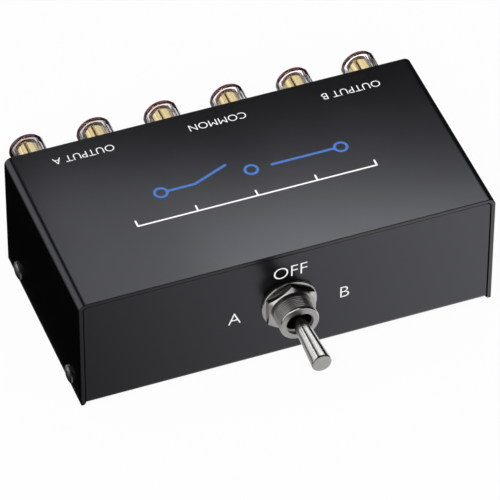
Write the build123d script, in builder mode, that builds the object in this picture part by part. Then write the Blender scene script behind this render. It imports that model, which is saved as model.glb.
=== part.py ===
from build123d import *
import math
import os

os.makedirs("parts", exist_ok=True)

# Speaker selector switch: a two-piece sheet steel box with a centre-off toggle
# switch on the front and twelve binding posts on the back. Millimetres.
# X runs to the right, Y to the back, Z up. The four feet stand on Z = 0 and
# X = Y = 0 is the middle of the whole outline, from the lever's tip to the caps.

# ---------------------------------------------------------------- the box
case_length = 128.0
case_depth = 66.0
case_height = 40.0
cover_sheet = 1.2
cover_bend = 2.4              # outer radius of the folded top edges
chassis_sheet = 1.2
chassis_bend = 1.6            # outer radius at the foot of both panels
panel_recess = 0.2            # panels sit this far inside the cover's edge
panel_gap = 0.4               # open line between a panel and the cover
panel_corner = 1.2
lip_height = 8.0              # folded-up lips that take the cover screws
lip_fit = 0.15
lip_relief = 2.0              # open corner between a lip and a panel
foot_radius = 5.0
foot_height = 2.0
foot_edge = 0.4
foot_inset = 11.0             # middle of a foot from the two nearest sides

# ---------------------------------------------------------------- cover screws
screw_radius = 1.5
screw_length = 4.0
screw_head_radius = 2.75
screw_head_rim = 0.45
screw_head_height = 1.15
screw_clearance = 0.2
screw_thread_fit = 0.02
screw_cross_length = 2.8
screw_cross_width = 0.55
screw_cross_depth = 0.65
screw_height = 3.8            # above the underside of the box
screw_spacing = 46.0

# ---------------------------------------------------------------- toggle switch
switch_drop = 0.6             # axis below the middle of the panel
bushing_radius = 6.0
bushing_proud = 9.0
bushing_end_chamfer = 0.4
bushing_mouth_radius = 4.2
bushing_mouth_depth = 0.8
bushing_slot_length = 8.0
bushing_slot_width = 5.0
bushing_slot_depth = 3.5
bushing_bore_radius = 3.7
bushing_shoulder_radius = 8.0
bushing_shoulder_thickness = 1.0
bushing_tail_radius = 5.0
bushing_hole_clearance = 0.1
thread_pitch = 0.75
thread_depth = 0.35
thread_crest = 0.3             # share of the pitch left flat at full radius
thread_fit = 0.02
nut_across_flats = 14.5
nut_chamfer = 0.55
front_nut_thickness = 2.4
rear_nut_thickness = 2.2
front_washer_radius = 8.5
front_washer_thickness = 0.7
lock_washer_radius = 9.0
lock_washer_thickness = 0.6
lock_washer_teeth = 12
lock_washer_tooth_depth = 0.8
shoulder_gap = 0.3            # thread left showing between rear nut and shoulder

pivot_proud = 0.7             # lever pivot ahead of the panel face
pivot_ball_radius = 3.4
pivot_pin_radius = 0.8
pivot_pin_length = 10.6
pivot_pin_edge = 0.15
pivot_running_fit = 0.05
lever_proud = 26.5
lever_tip_radius = 3.1
lever_tip_edge = 0.5
lever_neck_radius = 2.1
lever_neck_length = 7.5       # straight neck ahead of the pivot
lever_arm_radius = 1.05
drive_ball_radius = 1.4
drive_depth = 1.1             # drive ball's centre inside the carriage's front
drive_running_fit = 0.05
drive_floor_gap = 0.5

frame_sheet = 1.0
frame_width = 16.0
frame_tab = 1.6
body_length = 33.0
body_room = 5.0               # top and bottom of the switch body from the faces of the box
body_wall = 1.4
body_front_wall = 1.5
body_mouth_radius = 3.8
base_thickness = 2.0

pole_count = 4
pole_room = 3.4               # axis of the end poles from the walls of the body
carriage_length = 10.0
carriage_depth = 6.4
carriage_clearance = 0.2
carriage_corner = 0.6
plunger_radius = 1.1
plunger_slide_fit = 0.05
plunger_proud = 2.6
plunger_length = 4.8
plunger_nose = 0.85           # rounding of the nose
spring_wall = 0.9             # carriage left in front of each spring
spring_radius = 0.7
spring_wire_radius = 0.14
spring_turns = 5
spring_seat_gap = 0.02
contact_air_gap = 0.3
rocker_half_length = 8.8
rocker_thickness = 0.8
rocker_width = 4.4
rocker_hub_half_length = 1.3
rocker_pivot_radius = 0.6
rocker_running_fit = 0.05
rocker_tilt = 7.5             # degrees each way
rocker_height = 5.5           # rocker pivot above the terminal base
terminal_offset = 8.0         # outer terminals from the common one
terminal_thickness = 0.8
terminal_width = 3.4
terminal_slot_fit = 0.05
terminal_past_board = 1.0
contact_button_radius = 1.3
contact_button_height = 0.6

board_gap = 1.5
board_thickness = 1.6
board_length = 56.0
board_room = 5.0              # top and bottom of the board from the faces of the box
board_hole_clearance = 0.1
board_corner = 1.0

# ---------------------------------------------------------------- binding posts
post_column_count = 6
post_side_room = 10.05        # axis of the end posts from the sides of the cover
post_row_inset = 11.0         # axis of each row from the nearer face, top or underside
post_reach = 14.1             # cap rim from the panel face
socket_radius = 2.0
socket_depth = 18.0
stud_radius = 2.7
stud_recess = 1.3             # stud end inside the cap rim
stud_thread_depth = 0.2
stud_shoulder_radius = 4.4
stud_shoulder_thickness = 1.0
stud_past_nut = 1.4
stud_slip_fit = 0.05
collar_radius = 5.8
collar_thickness = 2.8
collar_edge = 0.3
collar_boss_radius = 3.5
collar_boss_fit = 0.05
insulator_radius = 5.0
insulator_thickness = 2.0
post_washer_radius = 4.5
post_washer_thickness = 0.6
lug_thickness = 0.6
lug_ring_radius = 4.5
lug_width = 3.0
lug_gap = 3.0                 # between the folded tabs of the two rows
lug_tail = 9.0
post_nut_across_flats = 8.0
post_nut_thickness = 2.4
post_nut_chamfer = 0.3

cap_closed_gap = 0.3
insert_flange_radius = 4.6
insert_flange_thickness = 1.6
insert_barrel_radius = 3.55
insert_recess = 0.5           # gold barrel ends inside the rim
insert_edge = 0.3
shell_radius = 5.4
shell_flat_distance = 5.28    # axis to each of the grip flats
shell_flat_count = 9
shell_turn = 30.0             # first corner between flats, degrees
shell_bore_radius = 4.0
shell_rim_edge = 0.3
cap_running_fit = 0.05

# ---------------------------------------------------------------- wiring
wire_radius = 0.8
wire_lead = 4.0               # straight run at each end
wire_on_lug = 3.5
wire_touch = 0.02
wire_bend = 2.5
pad_outer = 24.0
pad_inner = 15.0
pad_centre = 5.0
pad_rise = 3.0                # wire holes above and below the switch axis

# ---------------------------------------------------------------- places
underside = foot_height
case_top = underside + case_height
case_middle = (lever_proud - post_reach) / 2
front = case_middle - case_depth / 2
back = case_middle + case_depth / 2
panel_front = front + panel_recess
panel_back = back - panel_recess
front_inside = panel_front + chassis_sheet
back_inside = panel_back - chassis_sheet
inner_half = case_length / 2 - cover_sheet
panel_half = inner_half - panel_gap
lip_half = inner_half - lip_fit
panel_top = case_top - cover_sheet - panel_gap
screw_z = underside + screw_height
screw_rows = [case_middle - screw_spacing / 2, case_middle + screw_spacing / 2]
foot_x = case_length / 2 - foot_inset
foot_y = case_depth / 2 - foot_inset

switch_z = underside + case_height / 2 - switch_drop
switch_axis = Axis((0, 0, switch_z), (0, 1, 0))
bushing_end = panel_front - bushing_proud
pivot_y = panel_front - pivot_proud
washer_front = panel_front - front_washer_thickness
rear_nut_front = front_inside + lock_washer_thickness
shoulder_front = rear_nut_front + rear_nut_thickness + shoulder_gap
frame_front = shoulder_front + bushing_shoulder_thickness
body_front = frame_front + frame_sheet
body_tall = case_height - 2 * body_room
carriage_front = body_front + body_front_wall + carriage_clearance
carriage_back = carriage_front + carriage_depth
drive_y = carriage_front + drive_depth
plunger_tip = carriage_back + plunger_proud
rocker_front = plunger_tip + contact_air_gap
rocker_back = rocker_front + rocker_thickness
rocker_pivot_y = rocker_back + rocker_running_fit + rocker_pivot_radius
base_front = rocker_pivot_y + rocker_height
base_back = base_front + base_thickness
board_front = base_back + board_gap
board_back = board_front + board_thickness
board_tall = case_height - 2 * board_room
terminal_end = board_back + terminal_past_board
pole_pitch = (body_tall - 2 * body_wall - 2 * pole_room) / (pole_count - 1)
poles = [pole_pitch * (pole - (pole_count - 1) / 2) for pole in range(pole_count)]

lower_row = underside + post_row_inset
upper_row = case_top - post_row_inset
lug_drop = (upper_row - lower_row - lug_gap) / 2
post_pitch = 2 * (inner_half - post_side_room) / (post_column_count - 1)
columns = [post_pitch * (column - (post_column_count - 1) / 2) for column in range(post_column_count)]
rim_y = panel_back + post_reach
stud_end = rim_y - stud_recess
collar_face = panel_back + collar_thickness
shoulder_face = collar_face + stud_shoulder_thickness
cap_base = shoulder_face + cap_closed_gap
washer_y = back_inside - insulator_thickness
lug_y = washer_y - post_washer_thickness
post_nut_y = lug_y - lug_thickness
stud_tail = post_nut_y - post_nut_thickness - stud_past_nut


def facing(y):
    """Plane across the box at depth y: local X is X, local Y is Z, normal to the front."""
    return Plane.XZ.offset(-y)


def save(part, name):
    """Label a finished piece and write it as its own file."""
    part.label = name
    export_step(part, f"parts/{name}.step")


def hood(width, height, corner):
    """Upright rectangle on the underside with its two top corners rounded."""
    with BuildSketch() as outline:
        with Locations((0, underside)):
            Rectangle(width, height, align=(Align.CENTER, Align.MIN))
        fillet(outline.vertices().group_by(Axis.Y)[-1], corner)
    return outline.sketch


def trough(low, high, base, top, corner):
    """Rectangle between two depths with its two bottom corners rounded."""
    with BuildSketch() as outline:
        with Locations(((low + high) / 2, base)):
            Rectangle(high - low, top - base, align=(Align.CENTER, Align.MIN))
        fillet(outline.vertices().group_by(Axis.Y)[0], corner)
    return outline.sketch


def thread(radius, depth, start, end):
    """Zigzag of (radius, y) points from start to end, one groove for each pitch."""
    step = math.copysign(thread_pitch, end - start)
    points = []
    for turn in range(int(abs(end - start) / thread_pitch)):
        y = start + turn * step
        points.append((radius, y + thread_crest / 2 * step))
        points.append((radius - depth, y + step / 2))
        points.append((radius, y + (1 - thread_crest / 2) * step))
    return points


# ================================================================ case
cover_outside = hood(case_length, case_height, cover_bend)
cover_inside = hood(2 * inner_half, case_height - cover_sheet, cover_bend - cover_sheet)
with BuildPart() as cover:
    with BuildSketch(facing(back)):
        add(cover_outside)
        add(cover_inside, mode=Mode.SUBTRACT)
    extrude(amount=case_depth)
    with BuildSketch(Plane.YZ):
        with Locations(*[(y, screw_z) for y in screw_rows]):
            Circle(screw_radius + screw_clearance)
    extrude(amount=case_length, both=True, mode=Mode.SUBTRACT)
save(cover.part, "cover")

chassis_outside = trough(panel_front, panel_back, underside, panel_top, chassis_bend)
chassis_inside = trough(
    front_inside, back_inside, underside + chassis_sheet, case_top, chassis_bend - chassis_sheet
)
lip_front = front_inside + lip_relief
lip_back = back_inside - lip_relief
with BuildPart() as chassis:
    with BuildSketch(Plane.YZ):
        add(chassis_outside)
        add(chassis_inside, mode=Mode.SUBTRACT)
    extrude(amount=panel_half, both=True)
    fillet(chassis.edges().filter_by(Axis.Y).group_by(Axis.Z)[-1], panel_corner)
    with BuildSketch(facing(lip_back)):
        with Locations((0, underside)):
            Rectangle(2 * lip_half, lip_height, align=(Align.CENTER, Align.MIN))
        with Locations((0, underside + chassis_sheet)):
            Rectangle(
                2 * (lip_half - chassis_sheet), lip_height, align=(Align.CENTER, Align.MIN),
                mode=Mode.SUBTRACT,
            )
    extrude(amount=lip_back - lip_front)
    with BuildSketch(Plane.YZ):
        with Locations(*[(y, screw_z) for y in screw_rows]):
            Circle(screw_radius + screw_thread_fit)
    extrude(amount=case_length, both=True, mode=Mode.SUBTRACT)
    with BuildSketch(facing(front_inside)):
        with Locations((0, switch_z)):
            Circle(bushing_radius + bushing_hole_clearance)
    extrude(amount=2 * chassis_sheet, both=True, mode=Mode.SUBTRACT)
    with BuildSketch(facing(back_inside)):
        with Locations(*[(x, z) for x in columns for z in (upper_row, lower_row)]):
            Circle(collar_boss_radius + collar_boss_fit)
    extrude(amount=2 * chassis_sheet, both=True, mode=Mode.SUBTRACT)
save(chassis.part, "chassis")

with BuildPart() as screw:
    with BuildSketch(Plane.XZ):
        with BuildLine():
            Polyline(
                (0, screw_head_height), (0, -screw_length), (screw_radius, -screw_length),
                (screw_radius, 0), (screw_head_radius, 0), (screw_head_radius, screw_head_rim),
            )
            RadiusArc(
                (screw_head_radius, screw_head_rim), (0, screw_head_height),
                -(screw_head_radius**2 + (screw_head_height - screw_head_rim) ** 2)
                / (2 * (screw_head_height - screw_head_rim)),
            )
        make_face()
    revolve(axis=Axis.Z)
    with BuildSketch(Plane.XY.offset(screw_head_height)):
        Rectangle(screw_cross_length, screw_cross_width)
        Rectangle(screw_cross_width, screw_cross_length)
    extrude(amount=-screw_cross_depth, mode=Mode.SUBTRACT)

with BuildPart() as cover_screws:
    for side in (-1, 1):
        for y in screw_rows:
            with Locations(Location((side * case_length / 2, y, screw_z), (0, side * 90, 0))):
                add(screw.part)
save(cover_screws.part, "cover_screws")

with BuildPart() as feet:
    with BuildSketch():
        with Locations(*[(x, case_middle + y) for x in (-foot_x, foot_x) for y in (-foot_y, foot_y)]):
            Circle(foot_radius)
    extrude(amount=foot_height)
    chamfer(feet.edges().group_by(Axis.Z)[0], foot_edge)
save(feet.part, "feet")

# ================================================================ toggle switch
with BuildPart() as switch_bushing:
    with BuildSketch(Plane.XY.offset(switch_z)):
        with BuildLine():
            Polyline(
                (0, bushing_end),
                (bushing_radius - bushing_end_chamfer, bushing_end),
                *thread(bushing_radius, thread_depth, bushing_end + bushing_end_chamfer, shoulder_front),
                (bushing_radius, shoulder_front),
                (bushing_shoulder_radius, shoulder_front),
                (bushing_shoulder_radius, frame_front),
                (bushing_tail_radius, frame_front),
                (bushing_tail_radius, body_front),
                (0, body_front),
                close=True,
            )
        make_face()
    revolve(axis=switch_axis)
    with BuildSketch(facing(bushing_end + bushing_mouth_depth)):
        with Locations((0, switch_z)):
            Circle(bushing_mouth_radius)
    extrude(amount=bushing_mouth_depth, mode=Mode.SUBTRACT)
    with BuildSketch(facing(bushing_end + bushing_mouth_depth + bushing_slot_depth)):
        with Locations((0, switch_z)):
            SlotOverall(bushing_slot_length, bushing_slot_width)
    extrude(amount=bushing_slot_depth, mode=Mode.SUBTRACT)
    with BuildSketch(facing(body_front)):
        with Locations((0, switch_z)):
            Circle(bushing_bore_radius)
    extrude(
        amount=body_front - bushing_end - bushing_mouth_depth - bushing_slot_depth, mode=Mode.SUBTRACT
    )
    with Locations((0, pivot_y, switch_z)):
        Cylinder(pivot_pin_radius, pivot_pin_length, mode=Mode.SUBTRACT)
save(switch_bushing.part, "switch_bushing")

with BuildPart() as lever_pivot_pin:
    with Locations((0, pivot_y, switch_z)):
        Cylinder(pivot_pin_radius, pivot_pin_length)
    chamfer(lever_pivot_pin.edges().filter_by(GeomType.CIRCLE), pivot_pin_edge)
save(lever_pivot_pin.part, "lever_pivot_pin")

lever_tip = panel_front - lever_proud
with BuildPart() as toggle_lever:
    with BuildSketch(Plane.XY.offset(switch_z)):
        with BuildLine():
            Polyline(
                (0, lever_tip),
                (lever_tip_radius, lever_tip),
                (lever_neck_radius, pivot_y - lever_neck_length),
                (lever_neck_radius, pivot_y),
                (lever_arm_radius, pivot_y),
                (lever_arm_radius, drive_y),
                (0, drive_y),
                close=True,
            )
        make_face()
    revolve(axis=switch_axis)
    fillet(toggle_lever.edges().group_by(Axis.Y)[0], lever_tip_edge)
    with Locations((0, pivot_y, switch_z)):
        Sphere(pivot_ball_radius)
    with Locations((0, drive_y, switch_z)):
        Sphere(drive_ball_radius)
    with Locations((0, pivot_y, switch_z)):
        Cylinder(pivot_pin_radius + pivot_running_fit, 3 * pivot_ball_radius, mode=Mode.SUBTRACT)
save(toggle_lever.part, "toggle_lever")


def hex_nut(y, thickness, across_flats, bore, corner_cut):
    """Hex nut about the Y axis from depth y towards the back, one corner up, both ends chamfered."""
    corner = across_flats / math.sqrt(3)
    with BuildPart() as nut:
        with BuildSketch(facing(y + thickness)):
            RegularPolygon(across_flats / 2, 6, major_radius=False, rotation=90)
        extrude(amount=thickness)
        with BuildSketch(Plane.XY):
            with BuildLine():
                Polyline(
                    (0, y), (corner - 2 * corner_cut, y), (corner, y + corner_cut),
                    (corner, y + thickness - corner_cut), (corner - 2 * corner_cut, y + thickness),
                    (0, y + thickness), close=True,
                )
            make_face()
        revolve(axis=Axis.Y, mode=Mode.INTERSECT)
        with BuildSketch(facing(y + thickness)):
            Circle(bore)
        extrude(amount=thickness, mode=Mode.SUBTRACT)
    return nut.part


def ring(outer, inner, low, high):
    """Flat ring about the Y axis between two depths."""
    with BuildPart() as washer:
        with BuildSketch(facing(high)):
            Circle(outer)
            Circle(inner, mode=Mode.SUBTRACT)
        extrude(amount=high - low)
    return washer.part


def place(piece, *points):
    """Copies of a piece built at the origin, one at each point."""
    with BuildPart() as placed:
        with Locations(*points):
            add(piece)
    return placed.part


on_switch_axis = (0, 0, switch_z)
nut_bore = bushing_radius + thread_fit
front_nut = hex_nut(
    washer_front - front_nut_thickness, front_nut_thickness, nut_across_flats, nut_bore, nut_chamfer
)
save(place(front_nut, on_switch_axis), "front_nut")
rear_nut = hex_nut(rear_nut_front, rear_nut_thickness, nut_across_flats, nut_bore, nut_chamfer)
save(place(rear_nut, on_switch_axis), "rear_nut")
front_washer = ring(front_washer_radius, nut_bore, washer_front, panel_front)
save(place(front_washer, on_switch_axis), "front_washer")

with BuildPart() as lock_washer:
    add(ring(lock_washer_radius, nut_bore, front_inside, rear_nut_front))
    with BuildSketch(facing(rear_nut_front)):
        with PolarLocations(lock_washer_radius, lock_washer_teeth):
            Rectangle(2 * lock_washer_tooth_depth, lock_washer_tooth_depth)
    extrude(amount=lock_washer_thickness, mode=Mode.SUBTRACT)
save(place(lock_washer.part, on_switch_axis), "lock_washer")

frame_back = base_back + frame_sheet
with BuildPart() as switch_frame:
    with BuildSketch(Plane.YZ):
        with Locations(((frame_front + frame_back) / 2, switch_z)):
            Rectangle(frame_back - frame_front, body_tall + 2 * frame_sheet)
        with Locations(((body_front + base_back) / 2, switch_z)):
            Rectangle(base_back - body_front, body_tall, mode=Mode.SUBTRACT)
        with Locations((frame_back, switch_z)):
            Rectangle(2 * frame_sheet, body_tall - 2 * frame_tab, mode=Mode.SUBTRACT)
    extrude(amount=frame_width / 2, both=True)
    with BuildSketch(facing(body_front)):
        with Locations((0, switch_z)):
            Circle(bushing_tail_radius)
    extrude(amount=frame_sheet, mode=Mode.SUBTRACT)
save(switch_frame.part, "switch_frame")

with BuildPart() as switch_body:
    with BuildSketch(facing(base_front)):
        with Locations((0, switch_z)):
            Rectangle(body_length, body_tall)
    extrude(amount=base_front - body_front)
    with BuildSketch(facing(base_front)):
        with Locations((0, switch_z)):
            Rectangle(body_length - 2 * body_wall, body_tall - 2 * body_wall)
    extrude(amount=base_front - body_front - body_front_wall, mode=Mode.SUBTRACT)
    with BuildSketch(facing(body_front + body_front_wall)):
        with Locations((0, switch_z)):
            Circle(body_mouth_radius)
    extrude(amount=body_front_wall, mode=Mode.SUBTRACT)
save(switch_body.part, "switch_body")

carriage_tall = body_tall - 2 * body_wall - 2 * carriage_clearance
with BuildPart() as contact_carriage:
    with BuildSketch(facing(carriage_back)):
        with Locations((0, switch_z)):
            Rectangle(carriage_length, carriage_tall)
    extrude(amount=carriage_depth)
    fillet(contact_carriage.edges().filter_by(Axis.Y), carriage_corner)
    slot_half = drive_ball_radius + drive_running_fit
    with BuildSketch(facing(drive_y + drive_ball_radius + drive_floor_gap)):
        with Locations((0, switch_z)):
            Rectangle(2 * slot_half, 2 * slot_half)
    extrude(amount=drive_depth + drive_ball_radius + drive_floor_gap, mode=Mode.SUBTRACT)
    with BuildSketch(facing(carriage_back)):
        with Locations(*[(0, switch_z + pole) for pole in poles]):
            Circle(plunger_radius + plunger_slide_fit)
    extrude(amount=carriage_depth - spring_wall, mode=Mode.SUBTRACT)
save(contact_carriage.part, "contact_carriage")

pole_points = [(0, 0, switch_z + pole) for pole in poles]
plunger_top = plunger_tip - plunger_length
with BuildPart() as plunger:
    with BuildSketch(facing(plunger_tip)):
        Circle(plunger_radius)
    extrude(amount=plunger_length)
    fillet(plunger.edges().group_by(Axis.Y)[-1], plunger_nose)
save(place(plunger.part, *pole_points), "contact_plungers")

spring_start = carriage_front + spring_wall + spring_seat_gap + spring_wire_radius
spring_length = plunger_top - spring_seat_gap - spring_wire_radius - spring_start
with BuildPart() as spring:
    with BuildLine() as coil:
        Helix(spring_length / spring_turns, spring_length, spring_radius,
              center=(0, spring_start, 0), direction=(0, 1, 0))
    with BuildSketch(Plane(origin=coil.line @ 0, z_dir=coil.line % 0)):
        Circle(spring_wire_radius)
    sweep(path=coil.line, is_frenet=True)
save(place(spring.part, *pole_points), "plunger_springs")

with BuildPart() as rocker:
    with BuildSketch():
        with Locations((0, (rocker_front + rocker_back) / 2)):
            Rectangle(2 * rocker_half_length, rocker_thickness)
        with Locations((0, rocker_front)):
            Rectangle(
                2 * rocker_hub_half_length, rocker_pivot_y - rocker_front, align=(Align.CENTER, Align.MIN)
            )
        with Locations((0, rocker_pivot_y)):
            Circle(rocker_pivot_radius + rocker_running_fit, mode=Mode.SUBTRACT)
    extrude(amount=rocker_width / 2, both=True)
save(place(rocker.part, *pole_points), "contact_rockers")

with BuildPart() as common:
    with BuildSketch():
        with Locations((0, rocker_pivot_y)):
            Circle(rocker_pivot_radius)
            Rectangle(terminal_thickness, terminal_end - rocker_pivot_y, align=(Align.CENTER, Align.MIN))
    extrude(amount=terminal_width / 2, both=True)
save(place(common.part, *pole_points), "terminals_common")

tilt = math.radians(rocker_tilt)
rocker_drop = terminal_offset * math.sin(tilt) - (rocker_pivot_y - rocker_back) * math.cos(tilt)
contact_face = rocker_pivot_y + rocker_drop + contact_air_gap
with BuildPart() as throw:
    with BuildSketch():
        with Locations((0, contact_face + contact_button_height)):
            Rectangle(
                terminal_thickness, terminal_end - contact_face - contact_button_height,
                align=(Align.CENTER, Align.MIN),
            )
    extrude(amount=terminal_width / 2, both=True)
    with BuildSketch(facing(contact_face + contact_button_height)):
        Circle(contact_button_radius)
    extrude(amount=contact_button_height)
for name, side in (("terminals_a", 1), ("terminals_b", -1)):
    save(place(throw.part, *[(side * terminal_offset, 0, switch_z + pole) for pole in poles]), name)

terminal_spots = [
    (x, switch_z + pole) for x in (-terminal_offset, 0, terminal_offset) for pole in poles
]
with BuildPart() as terminal_base:
    with BuildSketch(facing(base_back)):
        with Locations((0, switch_z)):
            Rectangle(body_length, body_tall)
        with Locations(*terminal_spots):
            Rectangle(
                terminal_thickness + 2 * terminal_slot_fit, terminal_width + 2 * terminal_slot_fit,
                mode=Mode.SUBTRACT,
            )
    extrude(amount=base_thickness)
save(terminal_base.part, "terminal_base")

with BuildPart() as wiring_board:
    with BuildSketch(facing(board_back)):
        with Locations((0, switch_z)):
            RectangleRounded(board_length, board_tall, board_corner)
        with Locations(*terminal_spots):
            Rectangle(
                terminal_thickness + 2 * board_hole_clearance,
                terminal_width + 2 * board_hole_clearance,
                mode=Mode.SUBTRACT,
            )
    extrude(amount=board_thickness)
save(wiring_board.part, "wiring_board")

# ================================================================ binding posts
upper_spots = [(x, 0, upper_row) for x in columns]
lower_spots = [(x, 0, lower_row) for x in columns]
stud_bore = stud_radius + stud_slip_fit

with BuildPart() as stud:
    with BuildSketch():
        with BuildLine():
            Polyline(
                (socket_radius, stud_end),
                (stud_radius - stud_thread_depth, stud_end),
                *thread(stud_radius, stud_thread_depth, stud_end, shoulder_face),
                (stud_radius, shoulder_face),
                (stud_shoulder_radius, shoulder_face),
                (stud_shoulder_radius, collar_face),
                (stud_radius, collar_face),
                (stud_radius, stud_tail + stud_thread_depth),
                (stud_radius - stud_thread_depth, stud_tail),
                (0, stud_tail),
                (0, stud_end - socket_depth),
                (socket_radius, stud_end - socket_depth),
                close=True,
            )
        make_face()
    revolve(axis=Axis.Y)
save(place(stud.part, *upper_spots, *lower_spots), "post_studs")

with BuildPart() as collar:
    with BuildSketch(facing(collar_face)):
        Circle(collar_radius)
    extrude(amount=collar_thickness)
    chamfer(collar.edges().group_by(Axis.Y)[-1], collar_edge)
    with BuildSketch(facing(panel_back)):
        Circle(collar_boss_radius)
    extrude(amount=chassis_sheet)
    with BuildSketch(facing(collar_face)):
        Circle(stud_bore)
    extrude(amount=collar_thickness + chassis_sheet, mode=Mode.SUBTRACT)
save(place(collar.part, *upper_spots), "collars_red")
save(place(collar.part, *lower_spots), "collars_black")

insulator = ring(insulator_radius, stud_bore, washer_y, back_inside)
save(place(insulator, *upper_spots, *lower_spots), "inner_insulators")
post_washer = ring(post_washer_radius, stud_bore, lug_y, washer_y)
save(place(post_washer, *upper_spots, *lower_spots), "post_washers")
post_nut = hex_nut(
    post_nut_y - post_nut_thickness, post_nut_thickness, post_nut_across_flats,
    stud_radius + thread_fit, post_nut_chamfer,
)
save(place(post_nut, *upper_spots, *lower_spots), "post_nuts")


def solder_lug(side):
    """Ring tag whose tab folds towards the front; side is -1 for a tab that hangs down."""
    with BuildPart() as lug:
        with BuildSketch(facing(lug_y)):
            Circle(lug_ring_radius)
            with Locations((0, side * lug_drop / 2)):
                Rectangle(lug_width, lug_drop)
            Circle(stud_bore, mode=Mode.SUBTRACT)
        extrude(amount=lug_thickness)
        with BuildSketch(facing(lug_y)):
            with Locations((0, side * (lug_drop - lug_thickness / 2))):
                Rectangle(lug_width, lug_thickness)
        extrude(amount=lug_tail)
    return lug.part


with BuildPart() as solder_lugs:
    add(place(solder_lug(-1), *upper_spots))
    add(place(solder_lug(1), *lower_spots))
save(solder_lugs.part, "solder_lugs")

with BuildPart() as insert:
    with BuildSketch():
        with BuildLine():
            Polyline(
                (stud_radius + cap_running_fit, cap_base),
                (insert_flange_radius, cap_base),
                (insert_flange_radius, cap_base + insert_flange_thickness),
                (insert_barrel_radius, cap_base + insert_flange_thickness),
                (insert_barrel_radius, rim_y - insert_recess - insert_edge),
                (insert_barrel_radius - insert_edge, rim_y - insert_recess),
                (stud_radius + cap_running_fit, rim_y - insert_recess),
                close=True,
            )
        make_face()
    revolve(axis=Axis.Y)

flange_pocket = insert_flange_radius + cap_running_fit
with BuildPart() as shell:
    with BuildSketch(facing(rim_y)):
        Circle(shell_radius)
        RegularPolygon(
            shell_flat_distance, shell_flat_count, major_radius=False, rotation=shell_turn,
            mode=Mode.INTERSECT,
        )
    extrude(amount=rim_y - cap_base)
    with BuildSketch():
        with BuildLine():
            Polyline(
                (0, cap_base), (shell_radius, cap_base), (shell_radius, rim_y - shell_rim_edge),
                (shell_radius - shell_rim_edge, rim_y), (0, rim_y), close=True,
            )
        make_face()
    revolve(axis=Axis.Y, mode=Mode.INTERSECT)
    with BuildSketch(facing(rim_y)):
        Circle(shell_bore_radius)
    extrude(amount=rim_y - cap_base, mode=Mode.SUBTRACT)
    with BuildSketch(facing(cap_base + insert_flange_thickness + cap_running_fit)):
        Circle(flange_pocket)
    extrude(amount=insert_flange_thickness + cap_running_fit, mode=Mode.SUBTRACT)

column_names = ("a_left", "a_right", "speaker_left", "speaker_right", "b_left", "b_right")
for column, x in zip(column_names, columns):
    for colour, z in (("red", upper_row), ("black", lower_row)):
        save(place(insert.part, (x, 0, z)), f"cap_insert_{column}_{colour}")
        save(place(shell.part, (x, 0, z)), f"cap_shell_{column}_{colour}")

# ================================================================ wiring
lug_tab_front = lug_y - lug_tail
lug_face = lug_drop - lug_thickness - wire_touch - wire_radius


def wire(pad_x, post_x, upper):
    """One hook-up wire from its hole in the board to its solder lug."""
    side = 1 if upper else -1
    post_z = upper_row if upper else lower_row
    start = Vector(pad_x, board_back, switch_z + side * pad_rise)
    finish = Vector(post_x, lug_tab_front + wire_on_lug, post_z - side * lug_face)
    lead = Vector(0, wire_lead, 0)
    with BuildPart() as strand:
        with BuildLine() as route:
            FilletPolyline(
                start, start + lead, finish - lead - Vector(0, wire_on_lug, 0), finish, radius=wire_bend
            )
        with BuildSketch(Plane(origin=start, z_dir=(0, 1, 0))):
            Circle(wire_radius)
        sweep(path=route.line)
    return strand.part


pad_columns = (-pad_outer, -pad_inner, -pad_centre, pad_centre, pad_inner, pad_outer)
routes = list(zip(pad_columns, columns))
for group, pair in (("a", routes[:2]), ("speaker", routes[2:4]), ("b", routes[4:])):
    for colour, upper in (("red", True), ("black", False)):
        with BuildPart() as wires:
            for pad_x, post_x in pair:
                add(wire(pad_x, post_x, upper))
        save(wires.part, f"wires_{group}_{colour}")
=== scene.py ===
import math
import bmesh
import bpy
from mathutils import Matrix, Vector


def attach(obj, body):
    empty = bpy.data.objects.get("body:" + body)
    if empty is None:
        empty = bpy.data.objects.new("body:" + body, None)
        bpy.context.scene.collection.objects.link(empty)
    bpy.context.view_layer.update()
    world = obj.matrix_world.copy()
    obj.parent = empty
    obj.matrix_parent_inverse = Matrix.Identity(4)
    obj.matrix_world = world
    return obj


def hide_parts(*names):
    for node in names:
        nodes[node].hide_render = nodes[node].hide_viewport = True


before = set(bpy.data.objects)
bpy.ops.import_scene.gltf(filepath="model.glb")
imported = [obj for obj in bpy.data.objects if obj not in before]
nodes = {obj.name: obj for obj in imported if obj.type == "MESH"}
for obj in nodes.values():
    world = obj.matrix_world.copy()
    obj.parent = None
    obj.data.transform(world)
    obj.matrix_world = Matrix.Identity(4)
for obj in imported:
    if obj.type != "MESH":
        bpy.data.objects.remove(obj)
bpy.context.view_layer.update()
mm = 0.001
print("frame loaded:", len(nodes), "nodes")


# materials

def newMaterial(name):
    mat = bpy.data.materials.new(name)
    mat.use_nodes = True
    tree = mat.node_tree
    shader = tree.nodes["Principled BSDF"]
    coords = tree.nodes.new("ShaderNodeTexCoord")
    return mat, tree, shader, coords


def addNoise(tree, coords, scale, detail=3.0, roughness=0.5):
    # scale is in features a metre
    noise = tree.nodes.new("ShaderNodeTexNoise")
    noise.inputs["Scale"].default_value = scale
    noise.inputs["Detail"].default_value = detail
    noise.inputs["Roughness"].default_value = roughness
    tree.links.new(coords.outputs["Object"], noise.inputs["Vector"])
    return noise


def ramp(tree, source, low, high, lowColor, highColor):
    node = tree.nodes.new("ShaderNodeValToRGB")
    node.color_ramp.elements[0].position = low
    node.color_ramp.elements[1].position = high
    node.color_ramp.elements[0].color = (*lowColor, 1.0)
    node.color_ramp.elements[1].color = (*highColor, 1.0)
    tree.links.new(source, node.inputs["Fac"])
    return node


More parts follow.
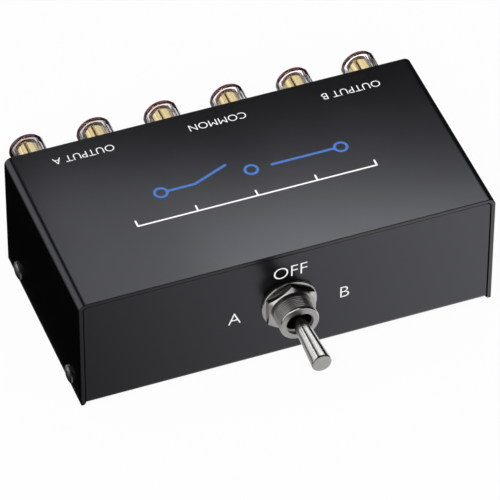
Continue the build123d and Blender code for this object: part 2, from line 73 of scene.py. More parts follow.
def varyRoughness(tree, source, shader, low, high):
    spread = tree.nodes.new("ShaderNodeMapRange")
    spread.inputs["To Min"].default_value = low
    spread.inputs["To Max"].default_value = high
    tree.links.new(source, spread.inputs["Value"])
    tree.links.new(spread.outputs["Result"], shader.inputs["Roughness"])


def addBump(tree, source, shader, strength, distance):
    bump = tree.nodes.new("ShaderNodeBump")
    bump.inputs["Strength"].default_value = strength
    bump.inputs["Distance"].default_value = distance
    tree.links.new(source, bump.inputs["Height"])
    tree.links.new(bump.outputs["Normal"], shader.inputs["Normal"])


def paintedSteel(name, dark, light, specular, rough):
    # satin paint: a fine skin and slow changes of shade
    mat, tree, shader, coords = newMaterial(name)
    shader.inputs["Specular IOR Level"].default_value = specular
    shader.inputs["Specular Tint"].default_value = (0.865, 0.885, 1.0, 1.0)
    skin = addNoise(tree, coords, scale=2600.0, detail=2.0)
    slow = addNoise(tree, coords, scale=55.0, detail=4.0)
    tone = ramp(tree, slow.outputs["Fac"], 0.3, 0.7, dark, light)
    tree.links.new(tone.outputs["Color"], shader.inputs["Base Color"])
    varyRoughness(tree, slow.outputs["Fac"], shader, *rough)
    addBump(tree, skin.outputs["Fac"], shader, strength=0.12, distance=0.00004)
    return mat


def platedMetal(name, dark, light, rough, grainScale=900.0, turned=0.0):
    mat, tree, shader, coords = newMaterial(name)
    shader.inputs["Metallic"].default_value = 1.0
    if turned:
        # lathe marks run round the Y axis, so the gloss stretches along it
        around = tree.nodes.new("ShaderNodeTangent")
        around.direction_type = "RADIAL"
        around.axis = "Y"
        tree.links.new(around.outputs["Tangent"], shader.inputs["Tangent"])
        shader.inputs["Anisotropic"].default_value = turned
        shader.inputs["Anisotropic Rotation"].default_value = 0.25
    grain = addNoise(tree, coords, grainScale, detail=4.0, roughness=0.6)
    cloud = addNoise(tree, coords, scale=180.0)
    tone = ramp(tree, cloud.outputs["Fac"], 0.3, 0.7, dark, light)
    tree.links.new(tone.outputs["Color"], shader.inputs["Base Color"])
    varyRoughness(tree, cloud.outputs["Fac"], shader, *rough)
    addBump(tree, grain.outputs["Fac"], shader, strength=0.06, distance=0.00002)
    return mat


def mouldedPlastic(name, dark, light, rough, specular=0.5, grainScale=1500.0, bumpStrength=0.08):
    mat, tree, shader, coords = newMaterial(name)
    shader.inputs["Specular IOR Level"].default_value = specular
    grain = addNoise(tree, coords, grainScale)
    cloud = addNoise(tree, coords, scale=120.0)
    tone = ramp(tree, cloud.outputs["Fac"], 0.3, 0.7, dark, light)
    tree.links.new(tone.outputs["Color"], shader.inputs["Base Color"])
    varyRoughness(tree, grain.outputs["Fac"], shader, *rough)
    addBump(tree, grain.outputs["Fac"], shader, bumpStrength, distance=0.00003)
    return mat


clearTint = (0.99, 0.99, 0.99)


def clearPlastic(name, rough, sides):
    # painted shade: sides is the darker colour that the wall takes where it turns away from view
    mat, tree, shader, coords = newMaterial(name)
    edge = tree.nodes.new("ShaderNodeLayerWeight")
    edge.inputs["Blend"].default_value = 0.5
    turnedEdgeShade = ramp(tree, edge.outputs["Facing"], 0.50, 0.56, clearTint, sides)
    tree.links.new(turnedEdgeShade.outputs["Color"], shader.inputs["Base Color"])
    shader.inputs["Transmission Weight"].default_value = 1.0
    shader.inputs["IOR"].default_value = 1.25
    flow = addNoise(tree, coords, scale=260.0, detail=2.0)
    varyRoughness(tree, flow.outputs["Fac"], shader, *rough)
    addBump(tree, flow.outputs["Fac"], shader, strength=0.04, distance=0.00005)
    smoke = tree.nodes.new("ShaderNodeVolumeAbsorption")
    smoke.inputs["Color"].default_value = (0.80, 0.79, 0.81, 1.0)
    smoke.inputs["Density"].default_value = 150.0
    tree.links.new(smoke.outputs["Volume"], tree.nodes["Material Output"].inputs["Volume"])
    return mat


def screenInk(name, dark, light):
    # printed ink with a slightly uneven coat
    mat, tree, shader, coords = newMaterial(name)
    shader.inputs["Specular IOR Level"].default_value = 0.3
    coat = addNoise(tree, coords, scale=1800.0)
    tone = ramp(tree, coat.outputs["Fac"], 0.35, 0.65, dark, light)
    tree.links.new(tone.outputs["Color"], shader.inputs["Base Color"])
    varyRoughness(tree, coat.outputs["Fac"], shader, low=0.45, high=0.6)
    return mat


satinPaint = {
    "dark": (0.0012, 0.0012, 0.0015), "light": (0.0017, 0.0018, 0.0021),
    "specular": 0.5, "rough": (0.20, 0.25),
}
nickelDark, nickelLight = (0.32, 0.315, 0.31), (0.37, 0.365, 0.355)
fineGrain, broadGrain = 1400.0, 700.0

coverBlack = paintedSteel("coverBlack", **satinPaint)
chassisBlack = paintedSteel("chassisBlack", **satinPaint)
# painted shade: near-black with no gloss, for the strips that darken the gaps
gapShadeBlack = mouldedPlastic(
    "gapShadeBlack", (0.001, 0.001, 0.001), (0.002, 0.002, 0.002), (0.8, 0.9), specular=0.0
)
screwBlack = platedMetal("screwBlack", (0.26, 0.26, 0.265), (0.36, 0.36, 0.365), (0.32, 0.42))
nickel = platedMetal("nickel", (0.33, 0.32, 0.31), (0.39, 0.38, 0.37), (0.14, 0.20), fineGrain)
threadNickel = platedMetal("threadNickel", nickelDark, nickelLight, (0.36, 0.42), fineGrain)
turnedNickel = platedMetal("turnedNickel", nickelDark, nickelLight, (0.16, 0.22), fineGrain, turned=0.4)
zincSteel = platedMetal("zincSteel", (0.52, 0.53, 0.55), (0.62, 0.63, 0.64), (0.28, 0.42), broadGrain)
goldPlate = platedMetal("goldPlate", (0.80, 0.62, 0.30), (0.88, 0.71, 0.37), (0.10, 0.17), fineGrain)
silverContact = platedMetal("silverContact", (0.72, 0.71, 0.68), (0.82, 0.81, 0.78), (0.2, 0.35))
# painted shade: the grip of the shell darkens where it turns away from view; the bore keeps its clear
# colour
clearShell = clearPlastic("clearShell", (0.01, 0.03), (0.30, 0.29, 0.31))
clearBore = clearPlastic("clearBore", (0.01, 0.03), clearTint)
redPlastic = mouldedPlastic("redPlastic", (0.30, 0.008, 0.012), (0.36, 0.012, 0.016), (0.16, 0.26))
# painted reflection: darker copies of the collars' red and black, for the rings that stand in for the
# collars seen in the caps' ends
reflectedCollarRed = mouldedPlastic("reflectedCollarRed", (0.12, 0.009, 0.020), (0.16, 0.012, 0.026), (0.2, 0.3))
reflectedCollarBlack = mouldedPlastic("reflectedCollarBlack", (0.012, 0.012, 0.014), (0.018, 0.018, 0.02), (0.2, 0.3))
blackPlastic = mouldedPlastic("blackPlastic", (0.010, 0.010, 0.011), (0.014, 0.014, 0.015), (0.18, 0.28))
mouldedBlack = mouldedPlastic("mouldedBlack", (0.018, 0.018, 0.02), (0.026, 0.026, 0.028), (0.45, 0.6))
nylonWhite = mouldedPlastic("nylonWhite", (0.70, 0.68, 0.62), (0.78, 0.76, 0.70), (0.3, 0.42))
footRubber = mouldedPlastic(
    "footRubber", (0.012, 0.012, 0.012), (0.02, 0.02, 0.02), (0.7, 0.85),
    specular=0.3, grainScale=900.0, bumpStrength=0.3,
)
boardGreen = mouldedPlastic("boardGreen", (0.012, 0.11, 0.045), (0.02, 0.15, 0.06), (0.25, 0.4))
wireRed = mouldedPlastic("wireRed", (0.36, 0.012, 0.012), (0.44, 0.02, 0.018), (0.35, 0.5))
wireBlack = mouldedPlastic("wireBlack", (0.012, 0.012, 0.013), (0.02, 0.02, 0.021), (0.35, 0.5))
whiteInk = screenInk("whiteInk", (0.88, 0.88, 0.88), (0.96, 0.96, 0.96))
blueInk = screenInk("blueInk", (0.040, 0.14, 0.45), (0.050, 0.17, 0.52))

kept = {
    "chassis": chassisBlack, "cover_screws": screwBlack, "feet": footRubber,
    "lever_pivot_pin": zincSteel, "rear_nut": nickel, "lock_washer": zincSteel,
    "switch_frame": zincSteel, "switch_body": mouldedBlack, "terminal_base": mouldedBlack,
    "contact_carriage": nylonWhite, "contact_plungers": nylonWhite, "plunger_springs": zincSteel,
    "contact_rockers": silverContact, "terminals_common": silverContact,
    "terminals_a": silverContact, "terminals_b": silverContact, "wiring_board": boardGreen,
    "inner_insulators": blackPlastic, "post_washers": goldPlate, "post_nuts": goldPlate,
    "solder_lugs": zincSteel, "post_studs": goldPlate, "collars_red": redPlastic,
    "collars_black": blackPlastic,
}
for group in ("a", "speaker", "b"):
    kept["wires_" + group + "_red"] = wireRed
    kept["wires_" + group + "_black"] = wireBlack


def dress(obj, material):
    obj.data.materials.clear()
    obj.data.materials.append(material)


for name, material in kept.items():
    dress(nodes[name], material)
print("materials ready")


# building helpers

seamWeld = 0.001 * mm  # points nearer than this on a turned piece are joined
onPlane = 0.0001 * mm  # points nearer than this to a cutting plane lie on it


def addObject(name, data):
    obj = bpy.data.objects.new(name, data)
    bpy.context.scene.collection.objects.link(obj)
    return obj


def meshFrom(name, bm):
    mesh = bpy.data.meshes.new(name)
    bm.to_mesh(mesh)
    bm.free()
    return mesh


def finishPiece(name, bm, material, body, replaced=(), sharp=32.0):
    bmesh.ops.recalc_face_normals(bm, faces=bm.faces)
    mesh = meshFrom(name, bm)
    mesh.shade_smooth()
    mesh.set_sharp_from_angle(angle=math.radians(sharp))
    obj = addObject(name, mesh)
    dress(obj, material)
    if replaced:
        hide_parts(*replaced)
    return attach(obj, body)


def turnProfile(bm, points, steps):
    # points are (radius, y) in millimetres, spun about the Y axis
    verts = [bm.verts.new((r * mm, y * mm, 0.0)) for r, y in points]
    edges = [bm.edges.new(pair) for pair in zip(verts, verts[1:])]
    bmesh.ops.spin(
        bm, geom=verts + edges, cent=(0, 0, 0), axis=(0, 1, 0), angle=math.tau,
        steps=steps, use_merge=True,
    )
    bmesh.ops.remove_doubles(bm, verts=bm.verts, dist=seamWeld)


def bevelSharp(bm, width, angle, segments=2):
    folds = [e for e in bm.edges if len(e.link_faces) == 2]
    edges = [e for e in folds if e.calc_face_angle() > math.radians(angle)]
    bmesh.ops.bevel(
        bm, geom=edges, offset=width * mm, offset_type="OFFSET", segments=segments,
        profile=0.5, affect="EDGES", material=-1, clamp_overlap=True,
    )


# folded cover

cover = {
    "length": 128.0, "depth": 66.0, "foot": 2.0, "top": 41.97, "middle": 6.2,
    "sheet": 1.2, "bend": 2.4, "bendSteps": 10, "edge": 0.16, "edgeAngle": 60, "sharp": 20.0,
}


def makeCover(c):
    # the folded sheet's end face, pulled along Y
    bm = bmesh.new()
    y0 = (c["middle"] - c["depth"] / 2) * mm
    half, foot, top = c["length"] / 2, c["foot"], c["top"]
    inner, under = half - c["sheet"], top - c["sheet"]
    outline = [(-half, foot), (-half, top), (half, top), (half, foot)]
    outline += [(inner, foot), (inner, under), (-inner, under), (-inner, foot)]
    verts = [bm.verts.new((x * mm, y0, z * mm)) for x, z in outline]
    bm.faces.new(verts)
    for corners, radius in ((verts[1:3], c["bend"]), (verts[5:7], c["bend"] - c["sheet"])):
        bmesh.ops.bevel(
            bm, geom=corners, offset=radius * mm, offset_type="OFFSET", segments=c["bendSteps"],
            profile=0.5, affect="VERTICES", material=-1,
        )
    section = bm.faces[:][0]
    out = bmesh.ops.extrude_face_region(bm, geom=[section])
    moved = [v for v in out["geom"] if isinstance(v, bmesh.types.BMVert)]
    bmesh.ops.translate(bm, verts=moved, vec=(0, c["depth"] * mm, 0))
    bmesh.ops.recalc_face_normals(bm, faces=bm.faces)
    bevelSharp(bm, c["edge"], c["edgeAngle"])
    return bm


foldedCover = finishPiece(
    "foldedCover", makeCover(cover), coverBlack, "case", ["cover"], cover["sharp"]
)

# painted shade: a matt black strip in the gap between the cover and each panel stands in for the shadow
# there
gapShadeStrip = {
    "length": 125.56, "depth": 1.0, "foot": 2.3, "top": 40.75,
    "sheet": 0.32, "bend": 1.5, "bendSteps": 6, "edge": 0.02, "edgeAngle": 60,
}
for name, middle in (("gapShadeFront", -26.06), ("gapShadeRear", 38.46)):
    finishPiece(name, makeCover({**gapShadeStrip, "middle": middle}), gapShadeBlack, "case")
for obj in (foldedCover, nodes["chassis"]):
    obj.visible_glossy = False  # the bright metal mirrors the studio, not the black paint
print("case made")


# toggle switch

switchAxis = Vector((0.0, 0.0, 21.4 * mm))

toggle = {
    "panel": -26.6, "bore": 6.02,
    "washerRadius": 8.5, "washerThickness": 0.7, "washerEdge": 0.16, "washerEase": 0.3,
    "washerSteps": 96,
    "nutFlats": 14.5, "nutThickness": 2.4, "nutFace": 6.95, "nutSpare": 0.02, "nutCone": 30,
    "nutBackHeight": 0.35, "nutBackWidth": 0.6, "nutSteps": 120, "nutSharp": 20.0,
    "lipInner": 5.58, "lipOuter": 6.01, "lipFront": -35.62, "lipBack": -35.07,
    "lipArcSteps": 9, "lipSteps": 128,
}


def makeWasher(t):
    # flat ring with an eased rim
    bm = bmesh.new()
    low, high, e = t["panel"] - t["washerThickness"], t["panel"], t["washerEdge"]
    r, b, n = t["washerRadius"], t["bore"], e * t["washerEase"]
    turnProfile(bm, [
        (b, low), (r - e, low), (r - n, low + n), (r, low + e),
        (r, high - e), (r - n, high - n), (r - e, high), (b, high), (b, low),
    ], t["washerSteps"])
    bmesh.ops.translate(bm, verts=bm.verts, vec=switchAxis)
    return bm


def makeNut(t):
    # a turned blank with a cone on its front edge, cut to a hexagon
    bm = bmesh.new()
    back = t["panel"] - t["washerThickness"]
    front = back - t["nutThickness"]
    corner = t["nutFlats"] / math.sqrt(3) + t["nutSpare"]
    cone = (corner - t["nutFace"]) * math.tan(math.radians(t["nutCone"]))
    turnProfile(bm, [
        (t["bore"], front), (t["nutFace"], front), (corner, front + cone),
        (corner, back - t["nutBackHeight"]), (corner - t["nutBackWidth"], back),
        (t["bore"], back), (t["bore"], front),
    ], t["nutSteps"])
    for side in range(6):
        angle = math.radians(60 * side)
        outward = Vector((math.cos(angle), 0, math.sin(angle)))
        cut = bmesh.ops.bisect_plane(
            bm, geom=bm.verts[:] + bm.edges[:] + bm.faces[:], dist=onPlane,
            plane_co=outward * t["nutFlats"] / 2 * mm, plane_no=outward, clear_outer=True,
        )
        rim = [e for e in cut["geom_cut"] if isinstance(e, bmesh.types.BMEdge)]
        bmesh.ops.edgeloop_fill(bm, edges=rim)
    bmesh.ops.translate(bm, verts=bm.verts, vec=switchAxis)
    return bm


def makeLip(t):
    # rounded corner on the open end of the bushing
    bm = bmesh.new()
    inner, back, steps = t["lipInner"], t["lipBack"], t["lipArcSteps"]
    wide, deep = t["lipOuter"] - inner, back - t["lipFront"]
    turns = [math.radians(90 * step / steps) for step in range(steps + 1)]
    curve = [(inner + wide * math.sin(a), back - deep * math.cos(a)) for a in turns]
    turnProfile(bm, curve + [(inner, back), curve[0]], t["lipSteps"])
    bmesh.ops.translate(bm, verts=bm.verts, vec=switchAxis)
    return bm


bushingLip = finishPiece("bushingLip", makeLip(toggle), nickel, "case")
finishPiece("roundWasher", makeWasher(toggle), nickel, "case", ["front_washer"])
hexNut = finishPiece("hexNut", makeNut(toggle), nickel, "case", ["front_nut"], toggle["nutSharp"])
dress(nodes["switch_bushing"], threadNickel)
dress(nodes["toggle_lever"], turnedNickel)
print("toggle made")


# binding posts

columns = {
    "a_left": -52.75, "a_right": -31.65, "speaker_left": -10.55,
    "speaker_right": 10.55, "b_left": 31.65, "b_right": 52.75,
}
# each row's ring takes the painted reflection of its own collar colour
rows = {"red": (31.0, reflectedCollarRed), "black": (13.0, reflectedCollarBlack)}
reflectedCollarBand = {"inner": 4.25, "outer": 5.18, "front": 52.05, "back": 52.9, "edge": 0.06, "steps": 72}
# the grip's faces are past gripRadius from the axis and turn to the side
clearCap = {"weld": 0.002, "flatAngle": 1.0, "gripRadius": 4.9, "gripFacing": 0.5, "sharp": 20.0}


def makeReflectedCollarBand(r, x, z):
    # painted reflection: a dark coloured ring in the end of the clear shell stands in for the collar
    # seen reflected in the wall, darker than the collar as if in shade
    bm = bmesh.new()
    inner, outer, front, back, e = r["inner"], r["outer"], r["front"], r["back"], r["edge"]
    turnProfile(bm, [
        (inner, front + e), (inner + e, front), (outer - e, front), (outer, front + e),
        (outer, back - e), (outer - e, back), (inner + e, back), (inner, back - e),
        (inner, front + e),
    ], r["steps"])
    bmesh.ops.translate(bm, verts=bm.verts, vec=(x * mm, 0, z * mm))
    return bm


def makeClearCap(c, node, x, z):
    # the shell's own shape, its bore and ends kept apart from the grip
    bm = bmesh.new()
    bm.from_mesh(nodes[node].data)
    bmesh.ops.remove_doubles(bm, verts=bm.verts, dist=c["weld"] * mm)
    bmesh.ops.dissolve_limit(
        bm, angle_limit=math.radians(c["flatAngle"]), verts=bm.verts, edges=bm.edges,
        use_dissolve_boundaries=False,
    )
    for face in bm.faces:
        middle = face.calc_center_median()
        fromAxis = math.hypot(middle.x - x * mm, middle.z - z * mm)
        grip = fromAxis > c["gripRadius"] * mm and abs(face.normal.y) < c["gripFacing"]
        # the grip takes the shell material with its painted edge shade, the bore and ends the plain
        # clear one
        face.material_index = 0 if grip else 1
    return bm


clearCaps = []
for column, x in columns.items():
    for row, (z, reflectedTone) in rows.items():
        place = column + "_" + row
        shell, body = "cap_shell_" + place, "shell_" + place
        dress(nodes["cap_insert_" + place], goldPlate)
        bm = makeClearCap(clearCap, shell, x, z)
        cap = finishPiece("clearCap_" + place, bm, clearShell, body, [shell], clearCap["sharp"])
        cap.data.materials.append(clearBore)
        clearCaps.append(cap)
        finishPiece("reflectedCollarBand_" + place, makeReflectedCollarBand(reflectedCollarBand, x, z), reflectedTone, body)
print("posts made")


# lettering

lettering = {
    "panelY": -26.6, "topZ": 41.97, "lift": 0.03, "front": 6.2, "rear": 3.9,
    "onFront": {"A": (-16.8, 20.5), "B": (17.2, 19.9), "OFF": (0.4, 33.8)},
    "onTop": {"OUTPUT A": (-41.5, 32.9), "COMMON": (0.0, 32.6), "OUTPUT B": (42.0, 31.8)},
    "thinning": -0.012,
}


def printText(name, words, size, place, turn, material):
    curve = bpy.data.curves.new(name, "FONT")
    curve.body = words
    curve.size = size * mm
    curve.offset = lettering["thinning"] * size * mm
    curve.align_x = "CENTER"
    curve.align_y = "CENTER"
    temp = addObject(name + "Text", curve)
    bpy.context.view_layer.update()
    mesh = bpy.data.meshes.new_from_object(temp.evaluated_get(bpy.context.evaluated_depsgraph_get()))
    bpy.data.objects.remove(temp)
    mesh.transform(Matrix.Translation(Vector(place) * mm) @ turn)
    mesh.name = name
    obj = addObject(name, mesh)
    dress(obj, material)
    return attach(obj, "case")


facingFront = Matrix.Rotation(math.radians(90), 4, "X")
facingUp = Matrix.Rotation(math.radians(180), 4, "Z")  # read from the posts' side
for words, (x, z) in lettering["onFront"].items():
    place = (x, lettering["panelY"] - lettering["lift"], z)
    printText("letters" + words, words, lettering["front"], place, facingFront, whiteInk)
topLetters = []
for words, (x, y) in lettering["onTop"].items():
    name = "letters" + words.replace(" ", "")
    place = (x, y, lettering["topZ"] + lettering["lift"])
    topLetters.append(printText(name, words, lettering["rear"], place, facingUp, whiteInk))

# switch diagram: two ways from one common point, and a ruled line under it
diagram = {
    "ringRadius": 2.3, "ringWidth": 0.85, "ringSides": 48, "stroke": 0.9, "endSides": 20,
    "rings": [(-26.0, 9.5), (2.0, 9.5), (30.0, 9.5)],
    "strokes": [
        ((-23.7, 9.5), (-15.5, 9.5)), ((-15.5, 9.5), (-4.5, 14.0)), ((8.5, 9.5), (27.7, 9.5)),
    ],
    "rule": ((-37.0, -1.5), (37.0, -1.5)), "ruleWidth": 0.55,
    "ticks": [-37.0, -18.5, 0.0, 18.5, 37.0], "tick": 2.2, "lift": 0.015, "coat": 0.002,
}
inkCoat = diagram["coat"] * mm  # crossing strokes lie this far over each other
printHeight = (lettering["topZ"] + diagram["lift"]) * mm


def addStroke(bm, start, end, width, height):
    # flat printed stroke with rounded ends
    start, end = Vector(start), Vector(end)
    along = (end - start).normalized()
    turn = math.atan2(along.y, along.x)
    grid = bmesh.ops.create_grid(bm, x_segments=1, y_segments=1, size=0.5)
    scale = Matrix.Diagonal(((end - start).length * mm, width * mm, 1.0, 1.0))
    middle = (start + end) / 2
    shift = Matrix.Translation((middle.x * mm, middle.y * mm, height))
    bmesh.ops.transform(bm, verts=grid["verts"], matrix=shift @ Matrix.Rotation(turn, 4, "Z") @ scale)
    for x, y in (start, end):
        disc = bmesh.ops.create_circle(
            bm, cap_ends=True, segments=diagram["endSides"], radius=width / 2 * mm
        )
        bmesh.ops.translate(bm, verts=disc["verts"], vec=(x * mm, y * mm, height + inkCoat))


def addRing(bm, x, y, radius, width, height):
    ring = bmesh.ops.create_circle(
        bm, cap_ends=True, segments=diagram["ringSides"], radius=radius * mm
    )
    face = ring["verts"][0].link_faces[0]
    bmesh.ops.translate(bm, verts=ring["verts"], vec=(x * mm, y * mm, height))
    bmesh.ops.inset_region(
        bm, faces=[face], thickness=width * mm, use_boundary=True, use_even_offset=True
    )
    bmesh.ops.delete(bm, geom=[face], context="FACES")


def flatPrint(name, bm, material):
    for face in bm.faces:
        if face.normal.z < 0:
            face.normal_flip()
    obj = addObject(name, meshFrom(name, bm))
    dress(obj, material)
    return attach(obj, "case")


bm = bmesh.new()
for x, y in diagram["rings"]:
    addRing(bm, x, y, diagram["ringRadius"], diagram["ringWidth"], printHeight)
for layer, (start, end) in enumerate(diagram["strokes"]):
    addStroke(bm, start, end, diagram["stroke"], printHeight + 2 * layer * inkCoat)
switchDiagram = flatPrint("switchDiagram", bm, blueInk)
bm = bmesh.new()
addStroke(bm, *diagram["rule"], diagram["ruleWidth"], printHeight)
for x in diagram["ticks"]:
    y = diagram["rule"][0][1]
    addStroke(bm, (x, y), (x, y + diagram["tick"]), diagram["ruleWidth"], printHeight + 2 * inkCoat)
ruledLine = flatPrint("ruledLine", bm, whiteInk)
print("printing made")


# studio

studio = {
    "floorSize": 6.0, "floorColor": 0.82, "floorRoughness": 0.9,
    # floorGlow is how much of the floor that is seen directly is glow
    "floorGlow": 0.95, "glowStrength": 2.0,
    # (x in millimetres, level) of the floor as bright metal mirrors it
    "floorSheen": [
        (-180, 0.8), (-110, 0.002), (-64.5, 0.002), (-63, 0.36), (-30, 0.66),
        (0, 0.92), (30, 1.25), (75, 1.66), (86, 1.66), (100, 0.03),
    ],
    "sheenEnds": (-200, 120),
    # (direction, level) of the world: strips along X, front along Y, overhead along Z
    "worldLevel": 0.6,
    "worldStrips": [
        (-0.60, 1.5), (-0.55, 0.03), (-0.22, 0.03), (-0.12, 0.16),
        (0.15, 0.16), (0.19, 0.0), (0.40, 0.0), (0.62, 0.03),
    ],
    "worldFront": [(-0.5, 0.08), (-0.2, 1.0)],
    "worldOverhead": [(0.15, 0.0), (0.3, 1.0)],
}
lamps = {
    # place, aim and size in millimetres
    "topBox": {
        "at": (107.4, 126.2, 243.7), "aim": (46.1, -123.1, 97.8),
        "size": (152, 86), "radiance": 4.1, "only": "top",
    },
    "leftBox": {
        "at": (-12.5, 109.7, 229.1), "aim": (-78, -108.6, 99.4),
        "size": (65.7, 148.7), "radiance": 1.9, "only": "top",
    },
    "rightBox": {
        "at": (128.5, 143.1, 212.4), "aim": (67.2, -106.2, 66.5),
        "size": (124, 62), "radiance": 0.42, "only": "top",
    },
    "mouthBox": {
        "at": (-60, -167, 225), "aim": (0, -35, 26),
        "size": (300, 60), "radiance": 7.0, "only": "lip",
    },
    "nutBox": {
        "at": (-16, -128, 24), "aim": (-2, -29, 26),
        "size": (104, 64), "radiance": 1.9, "only": "nut",
    },
    "screwBox": {
        "at": (-404, 373, 48), "aim": (-64, 6, 6),
        "size": (500, 84), "radiance": 10.0, "only": "screws",
    },
    "keyBox": {
        "at": (-520, -1180, 1150), "aim": (0, 0, 20),
        "size": (800, 800), "radiance": 8.8, "gloss": False,
    },
}
inserts = [piece for node, piece in nodes.items() if node.startswith("cap_insert")]
litPieces = {
    "top": [foldedCover, switchDiagram, ruledLine] + topLetters,
    "nut": [hexNut],
    "screws": [nodes["cover_screws"]],
    "lip": [bushingLip],
    "cover": [foldedCover],
    "turned": [nodes["toggle_lever"], nodes["switch_bushing"]],
    "posts": inserts + clearCaps + [nodes["post_studs"]],
}


def addLamp(name, lamp, turn=None):
    data = bpy.data.lights.new(name, "AREA")
    data.shape = "RECTANGLE"
    data.size, data.size_y = lamp["size"][0] * mm, lamp["size"][1] * mm
    data.energy = lamp["radiance"] * math.pi * data.size * data.size_y
    obj = addObject(name, data)
    obj.location = Vector(lamp["at"]) * mm
    obj.rotation_mode = "QUATERNION"
    if turn is None:
        turn = (Vector(lamp["aim"]) * mm - obj.location).to_track_quat("-Z", "Y")
    obj.rotation_quaternion = turn
    obj.visible_camera = False
    obj.visible_glossy = lamp.get("gloss", True)
    if "only" in lamp:
        lit = bpy.data.collections.new(name + "Lit")
        for piece in litPieces[lamp["only"]]:
            lit.objects.link(piece)
        obj.light_linking.receiver_collection = lit


for name, lamp in lamps.items():
    addLamp(name, lamp)

# long bars whose streaks run along the turned parts, from one side to another
barFrame = {"away": 1500.0, "tall": 1100.0, "forward": 0.676}
bars = {
    "leftBar": {"sides": (-0.53, -0.35), "radiance": 2.6, "only": "turned"},
    "leftCore": {"sides": (-0.70, -0.45), "radiance": 1.0, "only": "turned"},
    "rightBar": {"sides": (-0.02, 0.62), "radiance": 1.8, "only": "turned"},
    "rightCore": {"sides": (0.20, 0.55), "radiance": 1.0, "only": "turned"},
    "postLeft": {"sides": (-0.53, -0.33), "radiance": 1.0, "only": "posts"},
    "postRight": {"sides": (-0.10, 0.64), "radiance": 0.95, "only": "posts"},
    "foldBar": {"sides": (-0.60, -0.40), "radiance": 1.3, "only": "cover"},
}
for name, bar in bars.items():
    ends = []
    for x in bar["sides"]:
        rise = math.sqrt(1 - barFrame["forward"] ** 2 - x * x)
        ends.append(Vector((x, barFrame["forward"], rise)) * barFrame["away"])
    middle, across = (ends[0] + ends[1]) / 2, ends[1] - ends[0]
    away, side = middle.normalized(), across.normalized()
    turn = Matrix((side, away.cross(side), away)).transposed().to_quaternion()
    addLamp(name, {**bar, "at": middle, "size": (across.length, barFrame["tall"])}, turn)


def rayKind(tree, *kinds):
    # one for the named kinds of ray, nought for the others
    rays = tree.nodes.new("ShaderNodeLightPath")
    result = rays.outputs[kinds[0]]
    for kind in kinds[1:]:
        larger = tree.nodes.new("ShaderNodeMath")
        larger.operation = "MAXIMUM"
        tree.links.new(result, larger.inputs[0])
        tree.links.new(rays.outputs[kind], larger.inputs[1])
        result = larger.outputs[0]
    return result


def levelRamp(tree, source, low, high, stops):
    # level against place, as a grey ramp from low to high
    spread = tree.nodes.new("ShaderNodeMapRange")
    spread.inputs["From Min"].default_value = low
    spread.inputs["From Max"].default_value = high
    tree.links.new(source, spread.inputs["Value"])
    node = tree.nodes.new("ShaderNodeValToRGB")
    while len(node.color_ramp.elements) < len(stops):
        node.color_ramp.elements.new(0.5)
    for element, (place, level) in zip(node.color_ramp.elements, stops):
        element.position = (place - low) / (high - low)
        element.color = (level, level, level, 1.0)
    tree.links.new(spread.outputs["Result"], node.inputs["Fac"])
    return node.outputs["Color"]


def pick(tree, factor, first, second):
    node = tree.nodes.new("ShaderNodeMix")
    node.data_type = "RGBA"
    tree.links.new(factor, node.inputs["Factor"])
    for value, socket in ((first, node.inputs["A"]), (second, node.inputs["B"])):
        if isinstance(value, float):
            socket.default_value = (value, value, value, 1.0)
        else:
            tree.links.new(value, socket)
    return node.outputs["Result"]


world = bpy.data.worlds.new("studioWorld")
bpy.context.scene.world = world
world.use_nodes = True
tree = world.node_tree
direction = tree.nodes.new("ShaderNodeTexCoord")
axes = tree.nodes.new("ShaderNodeSeparateXYZ")
tree.links.new(direction.outputs["Generated"], axes.inputs["Vector"])
strips = levelRamp(tree, axes.outputs["X"], -1.0, 1.0, studio["worldStrips"])
dim = tree.nodes.new("ShaderNodeVectorMath")
dim.operation = "MULTIPLY"
tree.links.new(strips, dim.inputs[0])
tree.links.new(levelRamp(tree, axes.outputs["Y"], -1.0, 1.0, studio["worldFront"]), dim.inputs[1])
strips = dim.outputs["Vector"]
level = pick(tree, rayKind(tree, "Is Glossy Ray"), studio["worldLevel"], strips)
overhead = levelRamp(tree, axes.outputs["Z"], -1.0, 1.0, studio["worldOverhead"])
level = pick(tree, rayKind(tree, "Is Transmission Ray"), level, pick(tree, overhead, 1.0, strips))
level = pick(tree, rayKind(tree, "Is Camera Ray"), level, 1.0)
tree.links.new(level, tree.nodes["Background"].inputs["Color"])

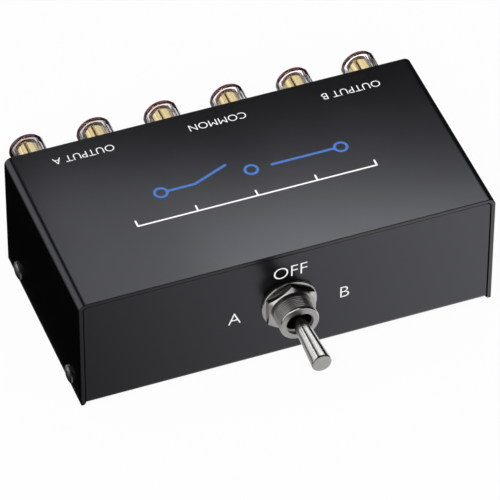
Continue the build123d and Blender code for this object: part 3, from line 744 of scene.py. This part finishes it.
# pale floor: it keeps the shadow, and glows a little so that it looks white
bm = bmesh.new()
bmesh.ops.create_grid(bm, x_segments=1, y_segments=1, size=studio["floorSize"] / 2)
floor = addObject("studioFloor", meshFrom("studioFloor", bm))
floorWhite, tree, shader, coords = newMaterial("floorWhite")
shader.inputs["Base Color"].default_value = (*(studio["floorColor"],) * 3, 1.0)
shader.inputs["Roughness"].default_value = studio["floorRoughness"]
shader.inputs["Specular IOR Level"].default_value = 0.0
glow = tree.nodes.new("ShaderNodeEmission")
axes = tree.nodes.new("ShaderNodeSeparateXYZ")
tree.links.new(coords.outputs["Object"], axes.inputs["Vector"])
strength = studio["glowStrength"]
sheenEnds = [place * mm for place in studio["sheenEnds"]]
sheenStops = [(place * mm, level / strength) for place, level in studio["floorSheen"]]
sheen = levelRamp(tree, axes.outputs["X"], *sheenEnds, sheenStops)
tree.links.new(pick(tree, rayKind(tree, "Is Glossy Ray"), 1 / strength, sheen), glow.inputs["Color"])
glow.inputs["Strength"].default_value = strength
share = tree.nodes.new("ShaderNodeMath")
share.operation = "MULTIPLY_ADD"
share.inputs[1].default_value = studio["floorGlow"]
tree.links.new(rayKind(tree, "Is Camera Ray", "Is Transmission Ray"), share.inputs[0])
tree.links.new(rayKind(tree, "Is Glossy Ray"), share.inputs[2])
blend = tree.nodes.new("ShaderNodeMixShader")
tree.links.new(share.outputs[0], blend.inputs["Fac"])
tree.links.new(shader.outputs["BSDF"], blend.inputs[1])
tree.links.new(glow.outputs["Emission"], blend.inputs[2])
tree.links.new(blend.outputs["Shader"], tree.nodes["Material Output"].inputs["Surface"])
dress(floor, floorWhite)
print("studio made")


# camera

view = {
    "azimuth": -20.845, "elevation": 43.697, "roll": 0.183, "target": (0.0, 6.2, 22.0),
    "side": 0.38, "rise": -6.348, "distance": 1441.517, "lens": 353.69,
    "sensor": 36.0, "clip": (0.05, 20.0),
}
az, el = math.radians(view["azimuth"]), math.radians(view["elevation"])
back = Vector((math.sin(az) * math.cos(el), -math.cos(az) * math.cos(el), math.sin(el)))
right = Vector((0, 0, 1)).cross(back).normalized()
up = back.cross(right)
roll = math.radians(view["roll"])
right, up = math.cos(roll) * right + math.sin(roll) * up, math.cos(roll) * up - math.sin(roll) * right
cameraData = bpy.data.cameras.new("mainCamera")
cameraData.sensor_width = view["sensor"]
cameraData.lens = view["lens"]
cameraData.clip_start, cameraData.clip_end = view["clip"]
camera = addObject("mainCamera", cameraData)
camera.rotation_mode = "QUATERNION"
camera.rotation_quaternion = Matrix((right, up, back)).transposed().to_quaternion()
camera.location = (
    Vector(view["target"]) + view["side"] * right + view["rise"] * up + view["distance"] * back
) * mm
bpy.context.scene.camera = camera
bpy.context.scene.view_settings.view_transform = "Standard"

print("scene ready")
